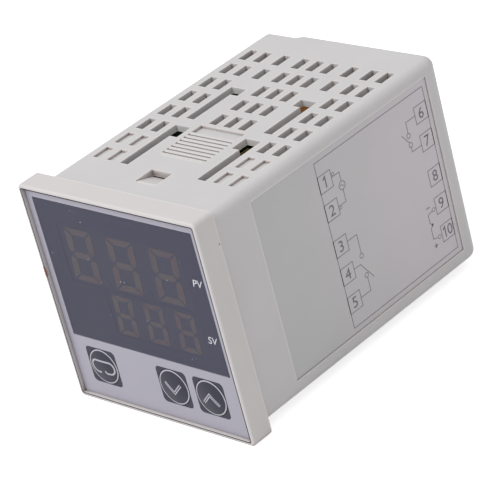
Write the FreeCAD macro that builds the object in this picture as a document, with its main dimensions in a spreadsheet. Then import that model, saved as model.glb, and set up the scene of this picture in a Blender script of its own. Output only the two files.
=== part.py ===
"""Panel temperature controller, 48 mm square front, drawn as a parametric assembly.

Frame: millimetres, +Z up, +X to the right of someone reading the display, +Y into the panel.
The origin is the centre of the face that the bezel lays against the panel.
"""
import FreeCAD, Part
import math
import os

import Sketcher

os.makedirs("parts", exist_ok=True)
doc = FreeCAD.newDocument("temperature_controller")

# ---------------------------------------------------------------- driving sizes
SIZES = [
    # bezel and printed film
    ("front_size", 48.0), ("front_depth", 5.0), ("front_corner", 1.0), ("front_round", 0.45),
    ("rim_width", 0.9), ("rim_height", 0.8), ("film_thickness", 0.3), ("film_gap", 0.1),
    ("front_wall", 1.8), ("skirt_wall", 1.8), ("skirt_depth", 6.0), ("skirt_gap", 0.3),
    # moulded case
    ("case_size", 44.8), ("case_depth", 66.6), ("case_wall", 1.4), ("rear_wall", 2.8),
    ("case_edge_round", 1.8), ("rear_corner_round", 3.0), ("rabbet_depth", 1.0), ("rabbet_gap", 0.1),
    # vents
    ("vent_width", 2.0), ("vent_length", 4.1), ("vent_front", 24.95), ("vent_rear", 11.4),
    ("column_side", 18.3), ("column_outer", 14.35), ("column_slot", 9.2), ("column_mid", 3.85),
    ("blind_depth", 0.55),
    # hooked slots for the mounting bracket
    ("hook_outer", 11.5), ("hook_leg_width", 2.15), ("hook_foot_width", 4.1),
    ("rear_hook_start", 29.4), ("rear_hook_back", 23.8), ("rear_hook_foot", 2.7),
    ("front_hook_start", 10.7), ("front_hook_length", 15.8), ("front_hook_foot", 4.0),
    # ribbed grip and its pocket
    ("grip_width", 12.0), ("grip_start", 16.0), ("rib_pitch", 1.2), ("rib_count", 8),
    ("rib_width", 0.84), ("rib_crest", 0.4), ("rib_shoulder", 0.2),
    ("grip_depth", 0.6), ("pocket_length", 2.4),
    # latch
    ("latch_window_width", 5.5), ("latch_window_start", 6.1), ("latch_window_length", 4.7),
    ("latch_gap", 0.15), ("latch_sink", 0.2), ("latch_land", 0.4), ("latch_toe", 0.4),
    ("latch_lead", 0.35),
    # side label
    ("label_start", 10.6), ("label_rear_edge", 4.6), ("label_top_edge", 2.5),
    ("label_bottom_edge", 3.3),
    ("label_recess", 0.45), ("label_thickness", 0.2), ("label_gap", 0.08),
    # rear notch
    ("notch_depth", 2.2), ("notch_inner", 10.7), ("notch_slope", 2.6), ("notch_height", 6.0),
    # terminals
    ("strip_side_gap", 1.7), ("barrier", 1.1), ("cell_side", 2.3), ("cell_length", 10.7),
    ("strip_base", 4.2), ("cell_depth", 5.4), ("barrier_rise", 2.2),
    ("spine", 1.0), ("strip_lip", 0.3), ("window_gap", 0.15),
    ("screw_inset", 2.9), ("screw_head", 5.2), ("screw_head_height", 2.0), ("screw_body", 2.9),
    ("screw_length", 7.0), ("screw_clearance", 0.1), ("screw_slot", 0.8),
    ("clamp_size", 5.4), ("clamp_thickness", 1.1), ("contact_thickness", 0.8),
    ("contact_side_gap", 0.25), ("tail_thickness", 0.8), ("tail_width", 2.4), ("tail_reach", 3.0),
    ("tail_clearance", 0.15),
    # boards
    ("board_thickness", 1.6), ("board_gap", 0.2), ("front_board_y", 3.5),
    ("side_board_gap", 1.7),
    # displays
    ("pv_x", -0.3), ("display_side_gap", 2.0), ("display_top_gap", 2.4), ("pv_height", 13.4),
    ("sv_side_gap", 2.35), ("display_gap", 0.15), ("sv_width", 24.8), ("sv_height", 10.0),
    ("segment_proud", 0.15), ("film_air", 0.05), ("window_edge", 0.5),
    ("pv_digit_height", 11.6), ("pv_digit_width", 7.3), ("pv_margin", 1.75),
    ("sv_digit_height", 8.8), ("sv_digit_width", 5.3), ("sv_margin", 1.35),
    # keys, from the walls of the bezel's cavity
    ("key_inset", 3.2), ("mode_inset", 3.9), ("up_inset", 4.4), ("key_pitch", 9.9),
    ("key_radius", 3.9), ("key_gap", 0.12), ("key_crown", 0.35), ("key_disc", 0.7),
    ("stem_radius", 1.4), ("switch_size", 6.0), ("switch_height", 3.5),
    ("button_radius", 1.7), ("button_gap", 0.12), ("button_rise", 0.9), ("button_seat", 1.1),
    ("button_well", 1.8),
    # transformer on the right board
    ("core_start", 11.0), ("core_edge", 7.0), ("core_width", 17.0), ("core_reach", 14.4),
    ("core_slab", 6.0), ("core_yoke", 2.6), ("core_leg", 2.8), ("winding_gap", 0.1),
    ("bobbin_base", 0.9), ("bobbin_width", 13.6),
    # parts on the right board: height off it, place along it, distance from its long edge
    ("film_capacitor_height", 13.5), ("film_capacitor_back", 6.6),
    ("film_capacitor_length", 5.5), ("film_capacitor_edge", 0.8), ("film_capacitor_width", 12.5),
    ("varistor_height", 10.5), ("varistor_back", 14.0), ("varistor_length", 3.8),
    ("varistor_edge", 4.2), ("varistor_width", 10.0),
    ("input_capacitor_radius", 5.0), ("input_capacitor_height", 14.5),
    ("input_capacitor_start", 9.4), ("input_capacitor_edge", 9.2),
    ("output_capacitor_radius", 3.15), ("output_capacitor_height", 11.0),
    ("output_capacitor_back", 22.7), ("output_capacitor_edge", 6.2),
    ("fuse_radius", 4.0), ("fuse_height", 7.5), ("fuse_back", 8.8), ("fuse_edge", 7.7),
    # parts on the left board, placed in the same way
    ("relay_height", 15.2), ("relay_start", 7.1), ("relay_length", 18.4), ("relay_edge", 0.7),
    ("relay_width", 10.2),
    ("optocoupler_height", 3.6), ("optocoupler_back", 11.2), ("optocoupler_length", 4.6),
    ("optocoupler_edge", 3.1), ("optocoupler_width", 6.4),
    ("memory_chip_height", 1.5), ("memory_chip_back", 4.6), ("memory_chip_length", 5.0),
    ("memory_chip_edge", 5.7), ("memory_chip_width", 4.0),
    ("microcontroller_height", 1.6), ("microcontroller_back", 7.0), ("microcontroller_size", 10.0),
    # headers between the boards
    ("header_reach", 2.5), ("header_length", 20.4),
]
sheet = doc.addObject("Spreadsheet::Sheet", "Sizes")
for row, (alias, number) in enumerate(SIZES, 1):
    sheet.set("A%d" % row, alias)
    sheet.set("B%d" % row, str(number))
    sheet.setAlias("B%d" % row, alias)
doc.recompute()


def size(text):
    """Expression text with every driving size looked up in the sheet."""
    names = sorted((alias for alias, _ in SIZES), key=len, reverse=True)
    words = []
    word = ""
    for letter in text + " ":
        if letter.isalnum() or letter in "_.":
            word += letter
            continue
        words.append("Sizes." + word if word in names else word)
        words.append(letter)
        word = ""
    return "".join(words).strip()


def value(text):
    """Number that an expression text gives now."""
    result = sheet.evalExpression(size(text))
    return float(getattr(result, "Value", result))


def bind(feature, prop, text):
    feature.setExpression(prop, size(text))


# ---------------------------------------------------------------- small makers
def span(name, x, y, z):
    """Part::Box between two expression texts on each axis."""
    box = doc.addObject("Part::Box", name)
    for (low, high), length, axis in zip((x, y, z), ("Length", "Width", "Height"), "xyz"):
        bind(box, length, "(%s) - (%s)" % (high, low))
        bind(box, "Placement.Base." + axis, low)
    return box


def rod(name, radius, start, end, axis, first, second):
    """Part::Cylinder along an axis, at (first, second) on the other two axes in x, y, z order."""
    cylinder = doc.addObject("Part::Cylinder", name)
    turns = {
        "x": FreeCAD.Rotation(FreeCAD.Vector(0, 1, 0), 90),
        "y": FreeCAD.Rotation(FreeCAD.Vector(1, 0, 0), -90),
        "z": FreeCAD.Rotation(),
    }
    cylinder.Placement = FreeCAD.Placement(FreeCAD.Vector(), turns[axis])
    bind(cylinder, "Radius", radius)
    bind(cylinder, "Height", "(%s) - (%s)" % (end, start))
    bind(cylinder, "Placement.Base." + axis, start)
    for other, text in zip([letter for letter in "xyz" if letter != axis], (first, second)):
        bind(cylinder, "Placement.Base." + other, text)
    return cylinder


def fuse(name, shapes):
    joined = doc.addObject("Part::MultiFuse", name)
    joined.Shapes = shapes
    return joined


def group(name, shapes):
    together = doc.addObject("Part::Compound", name)
    together.Links = shapes
    return together


def cut(name, base, tools):
    result = doc.addObject("Part::Cut", name)
    result.Base = base
    result.Tool = tools[0] if len(tools) == 1 else group(name + "_tools", tools)
    return result


def plane_sketch(body, name, plane, lift="0"):
    """Sketch on one of the body's own origin planes, lifted along the plane's normal."""
    sketch = body.newObject("Sketcher::SketchObject", name)
    support = [item for item in body.Origin.OriginFeatures if item.Role == plane][0]
    sketch.AttachmentSupport = [(support, "")]
    sketch.MapMode = "FlatFace"
    bind(sketch, "AttachmentOffset.Base.z", lift)
    return sketch


def outline(sketch, points):
    """Closed outline whose corners are bound to pairs of expression texts."""
    spots = [FreeCAD.Vector(value(first), value(second), 0) for first, second in points]
    start = sketch.GeometryCount
    for index, spot in enumerate(spots):
        sketch.addGeometry(Part.LineSegment(spot, spots[(index + 1) % len(spots)]), False)
    for index in range(len(spots)):
        following = start + (index + 1) % len(spots)
        sketch.addConstraint(Sketcher.Constraint("Coincident", start + index, 2, following, 1))
    for index, (first, second) in enumerate(points):
        for kind, text in (("DistanceX", first), ("DistanceY", second)):
            number = value(text)
            spot = sketch.addConstraint(
                Sketcher.Constraint(kind, -1, 1, start + index, 1, number))
            bind(sketch, "Constraints[%d]" % spot, text)


def rectangle(sketch, left, right, low, high):
    outline(sketch, [(left, low), (right, low), (right, high), (left, high)])


def disc(sketch, first, second, radius):
    """Circle bound to expression texts for its centre and radius."""
    centre = FreeCAD.Vector(value(first), value(second), 0)
    index = sketch.addGeometry(
        Part.Circle(centre, FreeCAD.Vector(0, 0, 1), value(radius)), False)
    for kind, text in (("DistanceX", first), ("DistanceY", second)):
        spot = sketch.addConstraint(Sketcher.Constraint(kind, -1, 1, index, 3, value(text)))
        bind(sketch, "Constraints[%d]" % spot, text)
    spot = sketch.addConstraint(Sketcher.Constraint("Radius", index, value(radius)))
    bind(sketch, "Constraints[%d]" % spot, radius)


def extrude(body, kind, name, sketch, length, reverse=False, both=False):
    """Pad or Pocket of a sketch, whose volume change is checked after recomputing."""
    before = body.Shape.Volume if body.Tip else 0.0
    feature = body.newObject("PartDesign::" + kind, name)
    feature.Profile = sketch
    bind(feature, "Length", length)
    feature.Reversed = reverse
    if both:
        feature.SideType = "Symmetric"
    doc.recompute()
    gained = feature.Shape.Volume - before
    if (gained > 0) != (kind == "Pad") or abs(gained) < 1e-6:
        raise ValueError("%s changes nothing or goes the wrong way" % name)
    return feature


def pattern(body, name, feature, axis, length, count, reverse=False):
    """Straight row of a feature along one of the body's own axes."""
    row = body.newObject("PartDesign::LinearPattern", name)
    row.Originals = [feature]
    line = [item for item in body.Origin.OriginFeatures if item.Role == axis][0]
    row.Direction = (line, [""])
    row.Reversed = reverse
    row.Mode = "Extent"
    bind(row, "Length", length)
    bind(row, "Occurrences", count)
    body.Tip = row
    doc.recompute()
    return row


def round_edges(body, name, feature, radius, wanted):
    """Fillet on the edges of a feature that a test picks."""
    rounded = body.newObject("PartDesign::Fillet", name)
    picked = [
        "Edge%d" % number for number, edge in enumerate(feature.Shape.Edges, 1) if wanted(edge)]
    rounded.Base = (feature, picked)
    bind(rounded, "Radius", radius)
    doc.recompute()
    return rounded


def runs_along_y(edge):
    first, last = edge.Vertexes[0].Point, edge.Vertexes[-1].Point
    return math.hypot(first.x - last.x, first.z - last.z) < 1e-6 and abs(first.y - last.y) > 1e-6


def runs_along_z_at_rear(edge):
    first, last = edge.Vertexes[0].Point, edge.Vertexes[-1].Point
    return abs(first.z - last.z) > 1e-6 and min(first.y, last.y) > value("case_depth") - 1e-6


def lies_at_y(level):
    return lambda edge: all(abs(corner.Y - level) < 1e-6 for corner in edge.Vertexes)


# ---------------------------------------------------------------- shared places
HALF_CASE = "case_size / 2"
HALF_BORE = "(case_size / 2 - case_wall)"
HALF_SKIRT = "(case_size / 2 - case_wall - skirt_gap)"
HALF_CAVITY = "(case_size / 2 - case_wall - skirt_gap - skirt_wall)"
FILM_SEAT = "(rim_height + film_thickness - front_depth)"
FILM_FRONT = "(rim_height - front_depth)"
WALL_BACK = "(rim_height + film_thickness + front_wall - front_depth)"
VENT_PITCH = "((case_depth - vent_rear - vent_front) / 5)"
KEY_Z = "(key_inset - %s)" % HALF_CAVITY
MODE_X = "(mode_inset - %s)" % HALF_CAVITY
UP_X = "(%s - up_inset)" % HALF_CAVITY
DOWN_X = "(%s - up_inset - key_pitch)" % HALF_CAVITY
KEYS = [("mode", MODE_X), ("down", DOWN_X), ("up", UP_X)]
PV_WIDTH = "((%s - display_side_gap) * 2)" % HALF_CAVITY
PV_Z = "(%s - display_top_gap - pv_height / 2)" % HALF_CAVITY
SV_X = "(%s - sv_side_gap - sv_width / 2)" % HALF_CAVITY
SV_Z = "(%s - display_top_gap - pv_height - display_gap - sv_height / 2)" % HALF_CAVITY
CELL_PITCH = "((case_size - case_wall * 2 - strip_side_gap * 2 - barrier) / 5)"
CELL_OUTER = "(case_size / 2 - cell_side)"
CELL_INNER = "(case_size / 2 - cell_side - cell_length)"
SCREW_X = "(case_size / 2 - cell_side - cell_length + screw_inset)"
BOARD_X = "(%s - side_board_gap - board_thickness)" % HALF_CAVITY
SIDES = [("right", 1), ("left", -1)]


def mirrored(sign, low, high):
    """Pair of texts for a span on the right side, or for its mirror image on the left."""
    return (low, high) if sign > 0 else ("-(%s)" % high, "-(%s)" % low)


# ---------------------------------------------------------------- case
def make_case():
    """One moulding: rounded sleeve with a rear wall, vents, bracket slots, grip and latch windows."""
    body = doc.addObject("PartDesign::Body", "case_shell")
    # the case enters the bezel's rabbet by rabbet_depth
    section = plane_sketch(body, "case_section", "XZ_Plane", "rabbet_depth")
    rectangle(section, "-" + HALF_CASE, HALF_CASE, "-" + HALF_CASE, HALF_CASE)
    block = extrude(body, "Pad", "case_block", section, "case_depth + rabbet_depth", reverse=True)
    # the rear corners first, then the top and bottom edges, which run round them in one sweep
    corners = round_edges(body, "case_rear_corners", block, "rear_corner_round", runs_along_z_at_rear)
    round_edges(body, "case_edges", corners, "case_edge_round", runs_along_y)

    bore = plane_sketch(body, "case_bore_section", "XZ_Plane", "rabbet_depth")
    rectangle(bore, "-" + HALF_BORE, HALF_BORE, "-" + HALF_BORE, HALF_BORE)
    extrude(body, "Pocket", "case_bore", bore, "case_depth + rabbet_depth - rear_wall")

    # terminal windows in the rear wall
    windows = plane_sketch(body, "terminal_windows", "XZ_Plane", "-case_depth")
    half_window = "(%s * 2.5 + barrier / 2 + window_gap)" % CELL_PITCH
    for _, sign in SIDES:
        low, high = mirrored(sign, CELL_INNER + " - spine - window_gap",
                             CELL_OUTER + " + window_gap")
        rectangle(windows, low, high, "-" + half_window, half_window)
    extrude(body, "Pocket", "terminal_window_cut", windows, "rear_wall", reverse=True)

    # vents run through the top and the bottom wall alike
    first_low = "(case_depth - vent_rear - vent_length / 2)"
    first_high = "(case_depth - vent_rear + vent_length / 2)"
    columns = [
        ("side", ["column_side", "column_outer"], 6),
        ("slot", ["column_slot"], 2),
        ("mid", ["column_mid", ""], 5),
    ]
    for label, places, rows in columns:
        sketch = plane_sketch(body, "vents_%s" % label, "XY_Plane")
        for place in places:
            for sign in ("", "-") if place else ("",):
                centre = sign + (place or "0")
                rectangle(sketch, centre + " - vent_width / 2", centre + " + vent_width / 2",
                          first_low, first_high)
        vent = extrude(body, "Pocket", "vent_cut_%s" % label, sketch, "case_size * 1.1", both=True)
        pattern(body, "vent_rows_%s" % label, vent, "Y_Axis",
                "%s * %d" % (VENT_PITCH, rows - 1), str(rows), reverse=True)

    # hooked slots: a long leg, then a foot turned towards the middle
    for label, start, end, foot in (
            ("rear", "rear_hook_start", "(case_depth - rear_hook_back)", "rear_hook_foot"),
            ("front", "front_hook_start", "(front_hook_start + front_hook_length)",
             "front_hook_foot")):
        sketch = plane_sketch(body, "%s_hook_slots" % label, "XY_Plane")
        for sign in ("", "-"):
            outer = sign + "hook_outer"
            leg = sign + "(hook_outer - hook_leg_width)"
            toe = sign + "(hook_outer - hook_foot_width)"
            heel = "(%s - %s)" % (end, foot)
            outline(sketch, [(outer, start), (leg, start), (leg, heel), (toe, heel),
                             (toe, end), (outer, end)])
        extrude(body, "Pocket", "%s_hook_cut" % label, sketch, "case_size * 1.1", both=True)

    # latch windows
    sketch = plane_sketch(body, "latch_windows", "XY_Plane")
    rectangle(sketch, "-latch_window_width / 2", "latch_window_width / 2", "latch_window_start",
              "latch_window_start + latch_window_length")
    extrude(body, "Pocket", "latch_window_cut", sketch, "case_size * 1.1", both=True)

    # blind vents, grip recess and pocket, sunk into the top and the bottom face
    for label, lift, turned in (("top", HALF_CASE, False), ("bottom", "-" + HALF_CASE, True)):
        blind = plane_sketch(body, "%s_blind_vents" % label, "XY_Plane", lift)
        for row in (6, 7):
            for place in ("column_side", "column_outer"):
                for sign in ("", "-"):
                    rectangle(blind, sign + place + " - vent_width / 2",
                              sign + place + " + vent_width / 2",
                              "%s - %s * %d" % (first_low, VENT_PITCH, row),
                              "%s - %s * %d" % (first_high, VENT_PITCH, row))
        extrude(body, "Pocket", "%s_blind_cut" % label, blind, "blind_depth", reverse=turned)

        recess = plane_sketch(body, "%s_grip_recess" % label, "XY_Plane", lift)
        rectangle(recess, "-grip_width / 2", "grip_width / 2", "grip_start",
                  "grip_start + rib_pitch * rib_count + pocket_length")
        extrude(body, "Pocket", "%s_grip_cut" % label, recess, "grip_depth", reverse=turned)

        # a rib stands on the recess's floor, and its crest is flush with the case
        middle = "grip_start + rib_pitch / 2"
        hand = "-" if turned else ""
        rib = plane_sketch(body, "%s_rib_section" % label, "YZ_Plane")
        outline(rib, [
            ("%s %s / 2" % (middle, across), "%s(case_size / 2 - %s)" % (hand, depth))
            for across, depth in (
                ("- rib_width", "grip_depth"), ("- rib_width", "rib_shoulder"),
                ("- rib_crest", "0"), ("+ rib_crest", "0"),
                ("+ rib_width", "rib_shoulder"), ("+ rib_width", "grip_depth"))])
        bar = extrude(body, "Pad", "%s_rib" % label, rib, "grip_width", both=True)
        pattern(body, "%s_ribs" % label, bar, "Y_Axis", "rib_pitch * (rib_count - 1)", "rib_count")

    # shallow recess for the side label
    recess = plane_sketch(body, "label_recess_section", "YZ_Plane", HALF_CASE)
    rectangle(recess, "label_start", "case_depth - label_rear_edge",
              "label_bottom_edge - case_size / 2", "case_size / 2 - label_top_edge")
    extrude(body, "Pocket", "label_recess_cut", recess, "label_recess")

    # step in the rear rim at the top left
    notch = plane_sketch(body, "rear_notch", "XY_Plane", HALF_CASE)
    outline(notch, [
        ("-notch_inner", "case_depth + notch_depth"),
        ("-notch_inner", "case_depth"),
        ("-(notch_inner + notch_slope)", "case_depth - notch_depth"),
        ("-case_size", "case_depth - notch_depth"),
        ("-case_size", "case_depth + notch_depth")])
    extrude(body, "Pocket", "rear_notch_cut", notch, "notch_height")
    return body


def make_label():
    """Thin label, smaller than its recess by the gap on every side."""
    return span(
        "side_label",
        (HALF_CASE + " - label_recess", HALF_CASE + " - label_recess + label_thickness"),
        ("label_start + label_gap", "case_depth - label_rear_edge - label_gap"),
        ("label_bottom_edge + label_gap - case_size / 2",
         "case_size / 2 - label_top_edge - label_gap"))


# ---------------------------------------------------------------- bezel and film
def make_bezel():
    """One moulding: framed front, display window, key holes, skirt and two latch arms."""
    body = doc.addObject("PartDesign::Body", "bezel")
    half = "front_size / 2"
    section = plane_sketch(body, "bezel_section", "XZ_Plane")
    rectangle(section, "-" + half, half, "-" + half, half)
    block = extrude(body, "Pad", "bezel_block", section, "front_depth")
    corners = round_edges(body, "bezel_corners", block, "front_corner", runs_along_y)
    round_edges(body, "bezel_front_edges", corners, "front_round",
                lies_at_y(-value("front_depth")))

    skirt = plane_sketch(body, "skirt_section", "XZ_Plane")
    rectangle(skirt, "-" + HALF_SKIRT, HALF_SKIRT, "-" + HALF_SKIRT, HALF_SKIRT)
    extrude(body, "Pad", "skirt_block", skirt, "skirt_depth", reverse=True)
    cavity = plane_sketch(body, "cavity_section", "XZ_Plane", "-skirt_depth")
    rectangle(cavity, "-" + HALF_CAVITY, HALF_CAVITY, "-" + HALF_CAVITY, HALF_CAVITY)
    extrude(body, "Pocket", "cavity_cut", cavity, "skirt_depth - " + WALL_BACK, reverse=True)

    rabbet = plane_sketch(body, "rabbet_section", "XZ_Plane")
    wide = "(case_size / 2 + rabbet_gap)"
    rectangle(rabbet, "-" + wide, wide, "-" + wide, wide)
    rectangle(rabbet, "-" + HALF_SKIRT, HALF_SKIRT, "-" + HALF_SKIRT, HALF_SKIRT)
    extrude(body, "Pocket", "rabbet_cut", rabbet, "rabbet_depth", reverse=True)

    seat = plane_sketch(body, "film_recess", "XZ_Plane", "front_depth")
    inner = "(front_size / 2 - rim_width)"
    rectangle(seat, "-" + inner, inner, "-" + inner, inner)
    extrude(body, "Pocket", "film_recess_cut", seat, "rim_height + film_thickness")

    window = plane_sketch(body, "display_window", "XZ_Plane", "front_depth")
    rectangle(window, "pv_x - %s / 2 - window_edge" % PV_WIDTH,
              "pv_x + %s / 2 + window_edge" % PV_WIDTH,
              SV_Z + " - sv_height / 2 - window_edge", PV_Z + " + pv_height / 2 + window_edge")
    extrude(body, "Pocket", "display_window_cut", window, "front_depth")
    holes = plane_sketch(body, "key_holes", "XZ_Plane", "front_depth")
    for _, place in KEYS:
        disc(holes, place, KEY_Z, "key_radius + key_gap")
    extrude(body, "Pocket", "key_hole_cut", holes, "front_depth")

    # latch arms: a steep catch face behind the window's front edge, a land, a ramp and a lead-in
    catch = "(latch_window_start + latch_gap)"
    crest = "(case_size / 2 - latch_sink)"
    tip = "(latch_window_start + latch_window_length - latch_gap)"
    arms = plane_sketch(body, "latch_sections", "YZ_Plane")
    for sign in ("", "-"):
        outline(arms, [
            ("skirt_depth - skirt_wall", sign + HALF_CAVITY),
            (tip, sign + HALF_CAVITY),
            (tip, sign + HALF_SKIRT),
            (tip + " - latch_lead", "%s(%s + latch_toe)" % (sign, HALF_SKIRT)),
            (catch + " + latch_land", sign + crest),
            (catch, sign + crest),
            (catch, sign + HALF_SKIRT),
            ("skirt_depth - skirt_wall", sign + HALF_SKIRT)])
    extrude(body, "Pad", "latch_arms", arms, "latch_window_width - latch_gap * 2", both=True)
    return body


def make_film():
    """Printed overlay in the bezel's recess, open where the key domes stand."""
    body = doc.addObject("PartDesign::Body", "front_film")
    sketch = plane_sketch(body, "film_section", "XZ_Plane", "-" + FILM_SEAT)
    half = "(front_size / 2 - rim_width - film_gap)"
    rectangle(sketch, "-" + half, half, "-" + half, half)
    for _, place in KEYS:
        disc(sketch, place, KEY_Z, "key_radius + key_gap")
    extrude(body, "Pad", "film_sheet", sketch, "film_thickness")
    return body


# ---------------------------------------------------------------- keys
def make_key(name, place):
    """Domed key cap with its stem, turned about the key's own axis."""
    body = doc.addObject("PartDesign::Body", "%s_key" % name)
    sketch = plane_sketch(body, "%s_key_profile" % name, "XY_Plane")
    # profile in the XY plane, radius along X and depth along Y
    front = FILM_FRONT
    tip = "(front_board_y - switch_height - button_rise)"
    outline(sketch, [
        ("0", front + " - key_crown"),
        ("key_radius * 0.6", front + " - key_crown * 0.8"),
        ("key_radius", front),
        ("key_radius", front + " + key_disc"),
        ("stem_radius", front + " + key_disc"),
        ("stem_radius", tip),
        ("0", tip)])
    turned = body.newObject("PartDesign::Revolution", "%s_key_turned" % name)
    turned.Profile = sketch
    axis = [item for item in body.Origin.OriginFeatures if item.Role == "Y_Axis"][0]
    turned.ReferenceAxis = (axis, [""])
    turned.Angle = 360
    bind(body, "Placement.Base.x", place)
    bind(body, "Placement.Base.z", KEY_Z)
    doc.recompute()
    return body


def make_button(name, place):
    """Round button of the push switch, bearing on the key's stem."""
    top = "(front_board_y - switch_height)"
    return rod("%s_button" % name, "button_radius", top + " - button_rise", top + " + button_seat",
               "y", place, KEY_Z)


def make_switches():
    """Three push-switch housings on the front board, each with a well for its button."""
    housings = []
    for name, place in KEYS:
        case = span("%s_switch_block" % name,
                    (place + " - switch_size / 2", place + " + switch_size / 2"),
                    ("front_board_y - switch_height", "front_board_y"),
                    (KEY_Z + " - switch_size / 2", KEY_Z + " + switch_size / 2"))
        well = rod("%s_switch_well" % name, "button_radius + button_gap",
                   "front_board_y - switch_height", "front_board_y - switch_height + button_well",
                   "y", place, KEY_Z)
        housings.append(cut("%s_switch" % name, case, [well]))
    return group("key_switches", housings)


# ---------------------------------------------------------------- displays
DISPLAY_FACE = "(rim_height + film_thickness - front_depth + film_air + segment_proud)"
# name, centre in X, centre in Z and width of each three-digit module
DISPLAYS = [("pv", "pv_x", PV_Z, PV_WIDTH), ("sv", SV_X, SV_Z, "sv_width")]


def make_display(name, x, z, width):
    """Moulded body of a three-digit module, standing on the front board."""
    return span("%s_display" % name, ("%s - %s / 2" % (x, width), "%s + %s / 2" % (x, width)),
                (DISPLAY_FACE, "front_board_y"),
                ("%s - %s_height / 2" % (z, name), "%s + %s_height / 2" % (z, name)))


SLANT = math.tan(math.radians(4.0))
# widths of the bars and the gap between them, as shares of a digit's height
UPRIGHT_SHARE = 0.15
LEVEL_SHARE = 0.115
GAP_SHARE = 0.025


def make_segments(name, x, z, width):
    """Light windows of three digits: seven slanted bars each, mitred or pointed, and two points."""
    wide = value("%s_digit_width" % name)
    tall = value("%s_digit_height" % name)
    pitch = (value(width) - wide) / 2 - value("%s_margin" % name)
    middle = (value(x), value(z))
    face = value(DISPLAY_FACE)
    proud = value("segment_proud")
    upright, level, gap = tall * UPRIGHT_SHARE, tall * LEVEL_SHARE, tall * GAP_SHARE
    flank = wide / 2 - upright / 2
    up = tall / 2 - level / 2
    # each bar: its two ends, its width, the width of the bars it meets, its outer side
    # (1 on the left of its run, -1 on the right) and which of its ends are mitred
    bars = [((-flank, up), (flank, up), level, upright, 1, (True, True)),
            ((-flank, 0), (flank, 0), level, upright, 1, (False, False)),
            ((-flank, -up), (flank, -up), level, upright, -1, (True, True))]
    for outer in (1, -1):
        column = -outer * flank
        bars.append(((column, 0), (column, up), upright, level, outer, (False, True)))
        bars.append(((column, -up), (column, 0), upright, level, outer, (True, False)))

    def place(digit, across, rise):
        slid = (digit - 1) * pitch + across + rise * SLANT
        return FreeCAD.Vector(middle[0] + slid, face, middle[1] + rise)

    def bar_end(mitred, thick, other, outer):
        """Corners of one end, left to right: distance in from the bars' crossing, and side."""
        if mitred:
            return [(gap - outer * other / 2, 1), (gap + outer * other / 2, -1)]
        return [(gap + thick / 2, 1), (gap, 0), (gap + thick / 2, -1)]

    solids = []
    reach = FreeCAD.Vector(0, -proud, 0)
    for digit in range(3):
        for (x0, z0), (x1, z1), thick, other, outer, mitred in bars:
            run = math.hypot(x1 - x0, z1 - z0)
            along = ((x1 - x0) / run, (z1 - z0) / run)
            side = (-along[1] * thick / 2, along[0] * thick / 2)
            stations = bar_end(mitred[0], thick, other, outer)[::-1]
            stations += [
                (run - far, hand) for far, hand in bar_end(mitred[1], thick, other, outer)]
            corners = [
                place(digit, x0 + along[0] * far + side[0] * hand,
                      z0 + along[1] * far + side[1] * hand)
                for far, hand in stations]
            wire = Part.makePolygon(corners + corners[:1])
            solids.append(Part.Face(wire).extrude(reach))
    for digit in range(2):
        spot = place(digit, wide / 2 + upright, level / 2 - tall / 2)
        solids.append(Part.makeCylinder(level / 2, proud, spot, FreeCAD.Vector(0, -1, 0)))
    feature = doc.addObject("Part::Feature", "%s_segments" % name)
    feature.Shape = Part.makeCompound(solids)
    return feature


# ---------------------------------------------------------------- boards
FRONT_BOARD_BACK = "(front_board_y + board_thickness)"
STRIP_BASE_BACK = "(case_depth - rear_wall - cell_depth)"
STRIP_FRONT = "(case_depth - rear_wall - cell_depth - strip_base)"
HALF_BOARD = "(case_size / 2 - case_wall - skirt_gap - skirt_wall - board_gap)"


def make_boards():
    edge = HALF_BOARD
    span("front_board", ("-" + edge, edge), ("front_board_y", FRONT_BOARD_BACK), ("-" + edge, edge))
    for name, sign in (("power_board", 1), ("control_board", -1)):
        span(name, mirrored(sign, BOARD_X, "(%s + board_thickness)" % BOARD_X),
             (FRONT_BOARD_BACK + " + board_gap", STRIP_FRONT + " - board_gap"), ("-" + edge, edge))


# ---------------------------------------------------------------- terminals
def cell_height(index):
    return "(%s * %d)" % (CELL_PITCH, index - 2)


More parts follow.
